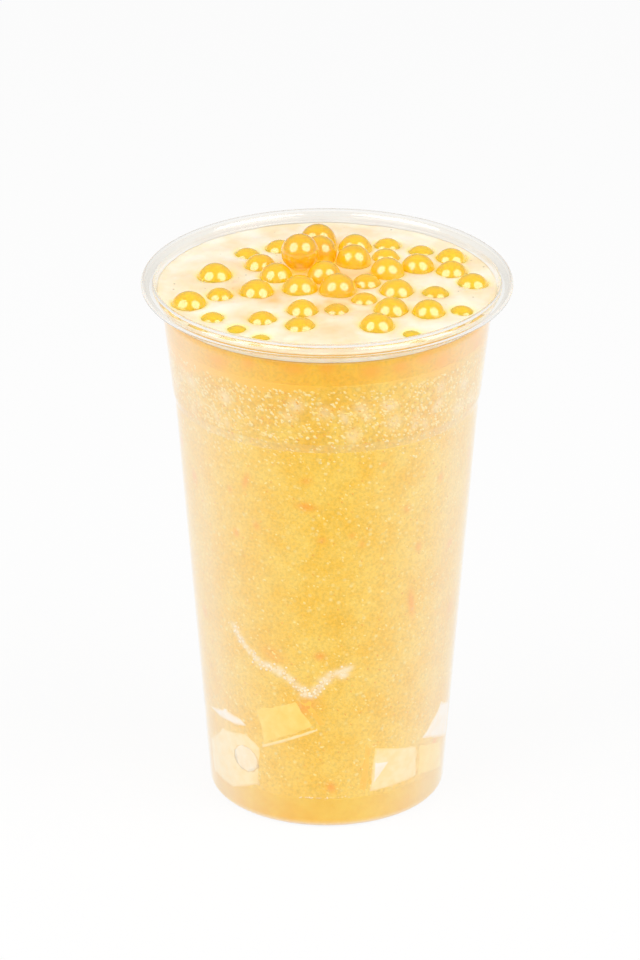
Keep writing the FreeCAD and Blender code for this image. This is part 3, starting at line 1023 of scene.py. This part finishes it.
@dataclass
class Foam:
    """The foam on top, which dips a little round each pearl and climbs at the wall."""

    line: WallLine
    pearls: list[Ball]
    span: Span
    finish: CreamFoam = CreamFoam()
    reach: float = 0.2 * MM
    dip: float = 0.4 * MM
    dip_run: float = 1.6 * MM
    pit_gap: float = 0.06 * MM
    collar: float = 0.55 * MM
    # How far the painted glow round each pearl reaches.
    painted_glow_run: float = 0.5 * MM
    wall_climb: float = 0.35 * MM
    wall_run: float = 1.2 * MM
    ripple: float = 0.2 * MM
    ripple_top: float = 0.6
    ripple_size: float = 7.0 * MM
    stain_mean: float = 0.85
    stain_range: float = 0.45
    stain_size: float = 2.4 * MM
    # Juice that has seeped from the pearls: x, y and reach in millimetres, and strength.
    stains: tuple[tuple[float, float, float, float], ...] = (
        (1.5, -13, 6.0, 1.0), (8, -10, 5.0, 0.9), (-13, -9, 6.0, 0.8), (-22, -2, 5.0, 0.6),
        (14, -17, 5.5, 0.65), (-6, -20, 5.0, 0.6), (26, -6, 5.0, 0.5), (4, 3, 12.0, 0.7),
        (2, -28, 5.0, 0.6), (-18, -18, 5.0, 0.5), (22, 10, 6.0, 0.4), (-8, 14, 6.0, 0.35),
    )
    rings: int = 90
    side_rows: int = 6
    steps: int = 360

    def surface(self, radius: float) -> float:
        """Height of the foam's even crown at a distance from the axis."""
        crown = self.span.high - self.edge_height()
        return self.span.high - crown * (radius / self.span.radius) ** 2

    def edge_height(self) -> float:
        """Height at which the foam's crown meets the wall."""
        radii, heights = zip(*self.line.bends)
        return float(np.interp(self.span.radius, radii, heights))

    def section(self) -> list[tuple[float, float]]:
        """The foam's half section, from axis to axis."""
        edge = self.edge_height()
        rise = [self.span.low + (edge - self.span.low) * step / self.side_rows
                for step in range(self.side_rows + 1)]
        side = [(float(self.line.radius(z)) + self.reach, z) for z in rise]
        reach = side[-1][0]
        top = [reach * (1.0 - ring / self.rings) for ring in range(1, self.rings + 1)]
        return [(0.0, self.span.low), *side, *((radius, self.surface(radius)) for radius in top)]

    def lift(self, x: np.ndarray, y: np.ndarray, z: np.ndarray) -> tuple[np.ndarray, np.ndarray]:
        """Height of the foam at each point of its top, and how strongly the painted glow shows there.

        Args:
            x: places, metres.
            y: places, metres.
            z: heights of the calm foam, metres.

        Returns:
            The heights in metres and the amounts of painted glow from 0 to 1.
        """
        dip = np.zeros_like(x)
        glow = np.zeros_like(x)
        pit = np.full_like(x, np.inf)
        for ball in self.pearls:
            across = np.hypot(x - ball.middle.x, y - ball.middle.y)
            level = self.surface(math.hypot(ball.middle.x, ball.middle.y)) - self.dip - ball.middle.z
            if abs(level) >= ball.radius:
                continue
            ring = math.sqrt(ball.radius ** 2 - level ** 2)
            beyond = np.maximum(across - ring, 0.0)
            dip = np.maximum(dip, self.dip * np.exp(-beyond / self.dip_run))
            # Painted glow: pale yellow light painted on the foam round each pearl, fading with distance from
            # its waterline.
            glow = np.maximum(glow, np.exp(-beyond / self.painted_glow_run))
            bowl = ball.middle.z - np.sqrt(np.maximum((ball.radius + self.pit_gap) ** 2 - across ** 2, 0.0))
            pit = np.where(across < ring - self.collar, np.minimum(pit, bowl), pit)
        wall = self.line.radius(z) - np.hypot(x, y)
        climb = self.wall_climb * np.exp(-np.maximum(wall, 0.0) / self.wall_run)
        heights = np.minimum(z + climb - dip, np.maximum(pit, self.span.low + self.pit_gap))
        return heights, glow

    def build(self) -> None:
        """Make the foam."""
        bm = bmesh.new()
        turn_section(bm, self.section(), self.steps)
        foot = self.edge_height() - 0.01 * MM
        top = [vert for vert in bm.verts if vert.co.z > foot]
        for vert in top:
            calm = noise.fractal(vert.co / self.ripple_size, 0.8, 2.0, 4)
            vert.co.z += self.ripple * min(calm, self.ripple_top)
        x, y, z = (np.array([vert.co[axis] for vert in top]) for axis in range(3))
        heights, glow = self.lift(x, y, z)
        for vert, height in zip(top, heights):
            vert.co.z = float(height)
        # The painted glow round the pearls, stored for the foam's finish.
        amounts = {vert: float(amount) for vert, amount in zip(top, glow)}
        painted_glows = [amounts.get(vert, 0.0) for vert in bm.verts]
        seeps = [self.seep(vert.co) for vert in bm.verts]
        piece = finish_piece(bm, "cream_foam", [self.finish.material()], ("foam",))
        store_amounts(piece.data, {Tint.GLOW: painted_glows, Tint.AMBER: seeps})

    def seep(self, place: Vector) -> float:
        """How strongly juice from the pearls has stained the foam at a point, from 0 to 1."""
        amount = 0.0
        for x, y, reach, strength in self.stains:
            away = math.hypot(place.x - x * MM, place.y - y * MM) / (reach * MM)
            ragged = self.stain_mean + self.stain_range * noise.noise(place / self.stain_size)
            amount = max(amount, strength * math.exp(-away * away) * ragged)
        return min(max(amount, 0.0), 1.0)


@dataclass
class Pearls:
    """The popping pearls, each slightly uneven."""

    balls: list[Ball]
    unevenness: float = 0.012
    lumps: float = 1.3
    draw_step: float = 5.3
    around: int = 48
    along: int = 24

    def build(self) -> None:
        """Make every pearl."""
        finish = AmberPearl().material()
        for number, ball in enumerate(self.balls):
            apart = Vector((0.0, 0.0, self.draw_step * number))
            bm = bmesh.new()
            bmesh.ops.create_uvsphere(bm, u_segments=self.around, v_segments=self.along, radius=1.0)
            for vert in bm.verts:
                swell = 1.0 + self.unevenness * (noise.noise(vert.co * self.lumps + apart) - 0.5)
                vert.co = ball.middle + vert.co * ball.radius * swell
            finish_piece(bm, f"popping_{ball.name}", [finish], (ball.name,))


@dataclass
class Studio:
    """A white studio: pale floor, white surroundings, two soft boxes and the camera."""

    lamp_bearing: float = 58.0
    lamp_height: float = 46.0
    lamp_distance: float = 0.9
    lamp_size: float = 0.84
    lamp_light: float = 2.95
    sky: float = 0.35
    floor_size: float = 8.0
    floor_glow: float = 0.93
    camera_distance: float = 1.7206
    camera_height: float = 24.64
    lens: float = 262.5
    sensor: float = 36.0
    middle: Vector = Vector((0.0, 0.0, 0.060))
    aim: Vector = Vector((-0.0017, 0.0, 0.0809))

    def towards(self, bearing: float, height: float) -> Vector:
        """Direction from the drink at a bearing and an angle above the floor."""
        side, up = math.radians(bearing), math.radians(height)
        return Vector((math.sin(side) * math.cos(up), -math.cos(side) * math.cos(up), math.sin(up)))

    def lamps(self) -> None:
        """Put a round soft box on either side of the front."""
        for side in (-1.0, 1.0):
            lamp = bpy.data.lights.new("soft_box", "AREA")
            lamp.shape = "DISK"
            lamp.size = self.lamp_size
            lamp.energy = self.lamp_light * math.pi * math.pi * (self.lamp_size / 2) ** 2
            place = bpy.data.objects.new("soft_box", lamp)
            away = self.towards(side * self.lamp_bearing, self.lamp_height)
            place.location = self.middle + away * self.lamp_distance
            place.rotation_euler = away.to_track_quat("Z", "Y").to_euler()
            bpy.context.scene.collection.objects.link(place)

    def surroundings(self) -> None:
        """White to the eye and through glass, softer as light on the drink and in its gloss."""
        world = bpy.data.worlds.new("white_studio")
        bpy.context.scene.world = world
        world.use_nodes = True
        tree = world.node_tree
        tree.nodes.clear()
        path = add_node(tree, "ShaderNodeLightPath")
        seen = add_node(tree, "ShaderNodeMath", {
            0: path.outputs["Is Camera Ray"], 1: path.outputs["Is Transmission Ray"]}, operation="MAXIMUM")
        strength = add_node(tree, "ShaderNodeMapRange", {
            "Value": seen.outputs[0], "To Min": self.sky, "To Max": 1.0})
        light = add_node(tree, "ShaderNodeBackground", {
            "Color": colour("FFFFFF"), "Strength": strength.outputs[0]})
        out = add_node(tree, "ShaderNodeOutputWorld")
        tree.links.new(light.outputs[0], out.inputs["Surface"])

    def floor(self) -> None:
        """A pale seamless floor that keeps a faint shadow."""
        bm = bmesh.new()
        bmesh.ops.create_grid(bm, x_segments=1, y_segments=1, size=self.floor_size / 2)
        mesh = bpy.data.meshes.new("studio_floor")
        bm.to_mesh(mesh)
        bm.free()
        floor = bpy.data.objects.new("studio_floor", mesh)
        bpy.context.scene.collection.objects.link(floor)
        material, tree, out = new_material("seamless_paper")
        paper = add_node(tree, "ShaderNodeBsdfDiffuse", {"Color": colour("FBFBFB")})
        path = add_node(tree, "ShaderNodeLightPath")
        glow = add_node(tree, "ShaderNodeEmission", {"Color": colour("FEFEFE"), "Strength": 1.0})
        seen = add_node(tree, "ShaderNodeMath", {
            0: path.outputs["Is Camera Ray"], 1: path.outputs["Is Glossy Ray"]}, operation="MAXIMUM")
        seen = add_node(tree, "ShaderNodeMath", {
            0: seen.outputs[0], 1: path.outputs["Is Transmission Ray"]}, operation="MAXIMUM")
        share = add_node(tree, "ShaderNodeMath", {
            0: seen.outputs[0], 1: self.floor_glow}, operation="MULTIPLY")
        mix = add_node(tree, "ShaderNodeMixShader", {
            0: share.outputs[0], 1: paper.outputs[0], 2: glow.outputs[0]})
        tree.links.new(mix.outputs[0], out.inputs["Surface"])
        mesh.materials.append(material)

    def camera(self) -> None:
        """Look down on the drink from a distance, through a long lens."""
        data = bpy.data.cameras.new("camera")
        data.lens = self.lens
        data.sensor_width = self.sensor
        data.clip_end = 50.0
        camera = bpy.data.objects.new("camera", data)
        camera.location = self.middle + self.towards(0.0, self.camera_height) * self.camera_distance
        camera.rotation_euler = (self.aim - camera.location).to_track_quat("-Z", "Y").to_euler()
        bpy.context.scene.collection.objects.link(camera)
        bpy.context.scene.camera = camera

    def build(self) -> None:
        """Set up the studio."""
        scene = bpy.context.scene
        scene.view_settings.view_transform = "Standard"
        self.camera()
        self.lamps()
        self.surroundings()
        self.floor()


def scattered_flecks(seed: int, count: int, low: float, high: float, size: tuple[float, float],
                     lean: tuple[float, float], stretch: float = 1.6) -> list[Fleck]:
    """Flecks at random places all the way round.

    Args:
        seed: start of the random draws.
        count: how many.
        low: lowest height.
        high: greatest height.
        size: least and greatest half width.
        lean: least and greatest slant in degrees.
        stretch: how many times longer than wide a fleck may be.

    Returns:
        The flecks.
    """
    draw = random.Random(seed)
    made = []
    for _ in range(count):
        tall = draw.uniform(*size)
        wide = tall * draw.uniform(1.0, stretch)
        made.append(Fleck(draw.uniform(-180.0, 180.0), draw.uniform(low, high), wide, tall,
                          draw.uniform(*lean)))
    return made


def froth_bubbles(seed: int, path: tuple[tuple[float, float], ...], count: int, spread: float,
                  size: tuple[float, float], sway: float = 1.2) -> list[Fleck]:
    """Small bubbles strewn along a line on the wall.

    Args:
        seed: start of the random draws.
        path: bearing and height in millimetres of the line's points.
        count: how many bubbles.
        spread: how far they stray from the line, up or down.
        size: least and greatest radius.
        sway: how many degrees they stray along the line.

    Returns:
        The bubbles.
    """
    draw = random.Random(seed)
    made = []
    for _ in range(count):
        place = draw.uniform(0.0, len(path) - 1.001)
        (first, low), (last, high) = path[int(place)], path[int(place) + 1]
        share = place - int(place)
        radius = draw.uniform(*size)
        made.append(Fleck(first + (last - first) * share + draw.gauss(0.0, sway),
                          (low + (high - low) * share) * MM + draw.gauss(0.0, spread), radius, radius))
    return made


FROTH_LINE = (
    (-44, 53), (-40, 49), (-30, 44.5), (-20, 43), (-13, 39.5), (-8, 37.5), (-4, 39), (0, 42.5), (11, 45),
)

SETTLED_EDGE = ((-14, 8.6), (10, 8.6))

AMBER_EDGE = AmberEdge((
    (-150, 121), (-120, 123), (-90, 119), (-63, 117), (-49, 120.5), (-38, 121), (-28, 120), (-10, 120.5),
    (1, 122.5), (15, 123.5), (27, 122.5), (44, 121), (58, 123.5), (75, 121), (110, 119), (150, 122),
    (180, 119),
))

WALL_PEARLS = spots_in_mm(
    (-41, 125.2, 2.6, 2.0), (-28, 127, 2.0, 1.6), (-11, 127, 2.8, 1.8), (0, 127.5, 2.4, 1.8),
    (15, 126, 3.0, 2.2), (26, 126, 2.2, 1.8), (36, 127, 2.2, 1.6), (44, 124.5, 2.4, 2.2),
)

PULP = spots_in_mm(
    (-33, 94, 0.8, 2.2, -20, 0.75), (-41, 90.5, 0.8, 1.0, 0, 0.5), (-8, 96.5, 1.2, 0.8, 10, 0.6),
    (-8, 89.5, 2.2, 1.0, -8, 0.9), (-39, 79, 0.9, 1.1, 0, 0.7), (-29, 82.5, 0.9, 1.3, 20, 0.6),
    (-2, 80.5, 1.0, 0.9, 0, 0.6), (22, 100, 0.8, 0.6, 0, 0.6), (50, 92, 1.0, 1.2, 0, 0.6),
    (33, 86.5, 0.9, 1.2, 20, 0.6), (40, 75, 0.9, 1.5, 10, 0.7), (10, 81.5, 0.8, 0.8, 0, 0.5),
    (14, 79, 0.8, 1.0, 0, 0.5), (38, 60, 1.0, 4.0, 8, 0.8), (-3, 48.5, 1.3, 1.1, 0, 0.9),
    (2, 11.6, 1.0, 1.4, 20, 1.0), (-24, 47.5, 3.5, 2.0, -20, 0.45), (-10, 34, 3.4, 2.0, 40, 0.8),
)

# Faces of ice at the wall, in painted light and shade: pale, yellow and amber faces are lit and shaded
# copies of the same ice, and the white ones are painted highlights.
ICE_FACES = [
    IceFace(PaintedIceShading.PALE, ((-74, 15), (-58, 21.5), (-40, 23.5), (-32, 20.5), (-34, 9.5), (-52, 5.5), (-72, 6))),
    IceFace(PaintedIceShading.YELLOW, ((-35, 31.5), (-14, 36), (-4, 28.5), (-31, 21.5))),
    IceFace(PaintedIceShading.PALE, ((-32, 20.3), (-3.5, 27.4), (-4, 28.7), (-32, 21.7))),
    IceFace(PaintedIceShading.AMBER, ((-14, 36), (-7, 36), (1, 29), (-4, 28.4))),
    IceFace(PaintedIceShading.PALE, ((22.5, 22), (48, 19), (49.5, 9.6), (20, 8.9))),
    IceFace(PaintedIceShading.YELLOW, ((48, 19), (71, 15.5), (76, 6), (49.5, 9.6))),
    IceFace(PaintedIceShading.AMBER, ((18, 23.5), (22.5, 22), (20, 8.9), (14, 10))),
    IceFace(PaintedIceShading.WHITE, ((22.5, 18), (33, 17.5), (21.5, 9.5))),
    IceFace(PaintedIceShading.WHITE, ((-70, 24.8), (-54, 27.6), (-43, 27), (-38.5, 25.2), (-48, 24.2), (-60, 24))),
    IceFace(PaintedIceShading.WHITE, ((50, 20), (66, 27), (80, 24), (80, 14), (64, 17))),
    *block_faces(112, 24, 13, 8),
    *block_faces(158, 15, 12, -14),
    *block_faces(-142, 20, 14, 20),
    *block_faces(-104, 31, 12, -6),
]


def along(path: tuple[tuple[float, float], ...], spacing: float, width: float, strength: float,
          stray: float = 0.35 * MM) -> list[Spot]:
    """Soft uneven patches side by side along a line on the wall.

    Args:
        path: bearing and height in millimetres of the line's points.
        spacing: degrees between patches.
        width: greatest half width of a patch.
        strength: greatest strength of a patch.
        stray: how far patches lie from the line, up or down.

    Returns:
        The patches.
    """
    draw = random.Random(len(path))
    made = []
    for (first, low), (last, high) in zip(path, path[1:]):
        parts = max(1, round(abs(last - first) / spacing))
        for part in range(parts):
            share = part / parts
            size = width * draw.uniform(0.45, 1.0)
            made.append(Spot(first + (last - first) * share,
                             (low + (high - low) * share) * MM + draw.gauss(0.0, stray),
                             size * draw.uniform(1.0, 1.5), size, 0.0, strength * draw.uniform(0.5, 1.0)))
    return made


def drink_layers(line: WallLine) -> list[DrinkLayer]:
    """The layers of the drink, from the floor up.

    Args:
        line: the cup's inner face.

    Returns:
        The layers.
    """
    settled = IcyJuice("settled_clear_juice", deep="F5BE2A", pale="F7CD44", fleck="FBD870",
                       fleck_amount=0.1, grain_depth=0.05)
    slush = IcyJuice("fine_fruit_slush", deep="FDC72C", pale="FFD75C", fleck="FFE592", amber="FBA72A")
    ice = IcyJuice("crushed_ice_in_juice", deep="FBC228", pale="FFD656", fleck="FFE792", amber="FFC32E",
                   fleck_size=1.8 * MM, fleck_amount=0.6, grain=0.9 * MM, grain_depth=0.2)
    band = IcyJuice("juice_round_sunk_pearls", deep="FFBC12", pale="FFCC28", fleck="FFD654",
                    amber="FDB210", fleck_amount=0.2)
    return [
        DrinkLayer("settled_juice", Slot.JUICE, settled, line),
        DrinkLayer("slush", Slot.SLUSH, slush, line,
                   amber=PULP + scatter_spots(5, 40, 12 * MM, 100 * MM, (0.8 * MM, 2.0 * MM), (0.4, 0.9)),
                   froth=along(FROTH_LINE, 0.8, 1.0 * MM, 0.95)
                   + scatter_spots(9, 24, 12 * MM, 100 * MM, (1.0 * MM, 2.4 * MM), (0.3, 0.6))),
        DrinkLayer("crushed_ice", Slot.ICE, ice, line, edge=AMBER_EDGE,
                   froth=scatter_spots(21, 60, 108 * MM, 118 * MM, (0.8 * MM, 2.2 * MM), (0.2, 0.5), 0.0)),
        DrinkLayer("pearl_band", Slot.BAND, band, line,
                   amber=WALL_PEARLS + scatter_spots(3, 22, 123 * MM, 127.5 * MM, (2.0 * MM, 3.0 * MM),
                                                     (0.7, 1.0))),
    ]


def loose_flecks(line: WallLine) -> list[WallFlecks]:
    """Ice flecks, pulp and froth at the wall.

    Args:
        line: the cup's inner face.

    Returns:
        One piece for each kind.
    """
    pale = WetIce("pale_ice_flecks", "FFE8A4", "FFDB78")
    fine = WetIce("fine_ice_flecks", "FFE590", "FFD96C")
    pulp = WetIce("orange_pulp_flecks", "F6B532", "EFAE34")
    cream = WetIce("cream_froth", "FFF4DA", "FFEBC2")
    return [
        WallFlecks("ice_flecks", Slot.ICE, pale, line,
                   scattered_flecks(11, 2400, 107 * MM, 121 * MM, (0.16 * MM, 0.42 * MM), (-60, -10), 2.0)
                   + scattered_flecks(15, 500, 100 * MM, 108 * MM, (0.14 * MM, 0.32 * MM), (-60, -10), 2.0),
                   proud=0.2 * MM, fineness=1),
        WallFlecks("slush_flecks", Slot.SLUSH, fine, line,
                   scattered_flecks(12, 2600, 10 * MM, 104 * MM, (0.12 * MM, 0.36 * MM), (-70, 10), 1.8),
                   proud=0.16 * MM, fineness=1),
        WallFlecks("pulp_flecks", Slot.SLUSH, pulp, line,
                   scattered_flecks(16, 900, 10 * MM, 104 * MM, (0.10 * MM, 0.26 * MM), (-70, 10), 2.0)
                   + scattered_flecks(17, 700, 105 * MM, 121 * MM, (0.12 * MM, 0.28 * MM), (-70, 0), 2.0),
                   proud=0.17 * MM, fineness=1),
        WallFlecks("froth_bubbles", Slot.SLUSH, cream, line,
                   froth_bubbles(13, FROTH_LINE, 90, 0.8 * MM, (0.1 * MM, 0.34 * MM))
                   + froth_bubbles(14, SETTLED_EDGE, 26, 0.15 * MM, (0.08 * MM, 0.18 * MM)),
                   proud=0.3 * MM, unevenness=0.1),
    ]


def ringed_bubbles(line: WallLine) -> list[WallFlecks]:
    """The bubble caught in an ice block, and small ones along the froth, each in a thin ring of juice.

    Args:
        line: the cup's inner face.

    Returns:
        The rings, and the bubbles that lie on them.
    """
    ring = WetIce("thin_ring_of_juice", "FAD88E", "F7CF7C")
    bubble = WetIce("bubble_in_ice", "FFF1D4", "FFE7BC")
    small = froth_bubbles(19, FROTH_LINE, 18, 0.9 * MM, (0.38 * MM, 0.62 * MM))
    inner = [replace(fleck, wide=fleck.wide - 0.15 * MM, tall=fleck.tall - 0.15 * MM) for fleck in small]
    return [
        WallFlecks("bubble_ring", Slot.SLUSH, ring, line,
                   [Fleck(-42, 16 * MM, 4.3 * MM, 4.0 * MM, 12), *small], proud=0.26 * MM, unevenness=0.05),
        WallFlecks("trapped_bubble", Slot.SLUSH, bubble, line,
                   [Fleck(-42, 16 * MM, 3.9 * MM, 3.6 * MM, 12), *inner], proud=0.31 * MM, unevenness=0.05),
    ]


def main() -> None:
    """Build the drink from the outside in, and the studio round it."""
    logging.basicConfig(level=logging.INFO, format="%(name)s: %(message)s")
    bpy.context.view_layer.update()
    line = WallLine.of_frame()
    balls = read_pearls()
    Studio().build()
    Cup(line).build()
    for piece in (
        *drink_layers(line),
        *loose_flecks(line),
        IceBlocks(line, ICE_FACES),
        *ringed_bubbles(line),
        Foam(line, balls, Span.of("foam")),
        Pearls(balls),
    ):
        piece.build()


if __name__ == "__main__":
    main()
